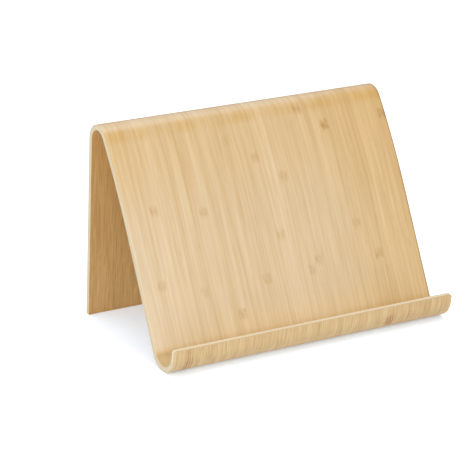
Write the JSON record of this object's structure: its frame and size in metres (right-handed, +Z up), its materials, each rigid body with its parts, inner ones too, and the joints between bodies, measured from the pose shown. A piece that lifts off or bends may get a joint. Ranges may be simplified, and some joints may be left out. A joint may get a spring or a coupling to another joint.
{
  "type": "phone stand",
  "caption": "Moulded bamboo plywood stand: upright rear leg, rounded crest, sloping front panel and a curled trough with a low lip that holds a phone, tablet or book.",
  "frame": {"origin": "centre of the footprint, on the surface that the stand rests on", "axes": "+X along the width, to the right as the user sees the front; +Y to the rear, from the lip to the rear leg; +Z up"},
  "size_m": [0.26, 0.155, 0.17],
  "materials": {
    "face_bamboo": "satin clear lacquer over strip bamboo",
    "back_bamboo": "satin clear lacquer over bamboo veneer",
    "crossband_ply": "glued ply, seen only at its cut edge",
    "core_ply": "glued ply, seen only at its cut edge"
  },
  "bodies": {
    "root": {"face_strip_01": "face_bamboo", "face_strip_02": "face_bamboo", "face_strip_03": "face_bamboo", "face_strip_04": "face_bamboo", "face_strip_05": "face_bamboo", "face_strip_06": "face_bamboo", "face_strip_07": "face_bamboo", "face_strip_08": "face_bamboo", "face_strip_09": "face_bamboo", "face_strip_10": "face_bamboo", "face_strip_11": "face_bamboo", "face_strip_12": "face_bamboo", "face_strip_13": "face_bamboo", "face_strip_14": "face_bamboo", "face_strip_15": "face_bamboo", "face_strip_16": "face_bamboo", "face_strip_17": "face_bamboo", "face_strip_18": "face_bamboo", "face_strip_19": "face_bamboo", "face_strip_20": "face_bamboo", "face_strip_21": "face_bamboo", "face_strip_22": "face_bamboo", "face_strip_23": "face_bamboo", "face_strip_24": "face_bamboo", "face_strip_25": "face_bamboo", "face_strip_26": "face_bamboo", "face_strip_27": "face_bamboo", "face_strip_28": "face_bamboo", "face_strip_29": "face_bamboo", "face_strip_30": "face_bamboo", "face_strip_31": "face_bamboo", "face_strip_32": "face_bamboo", "face_strip_33": "face_bamboo", "face_strip_34": "face_bamboo", "face_strip_35": "face_bamboo", "face_strip_36": "face_bamboo", "face_crossband": "crossband_ply", "core_ply": "core_ply", "back_crossband": "crossband_ply", "back_veneer": "back_bamboo"}
  },
  "joints": []
}
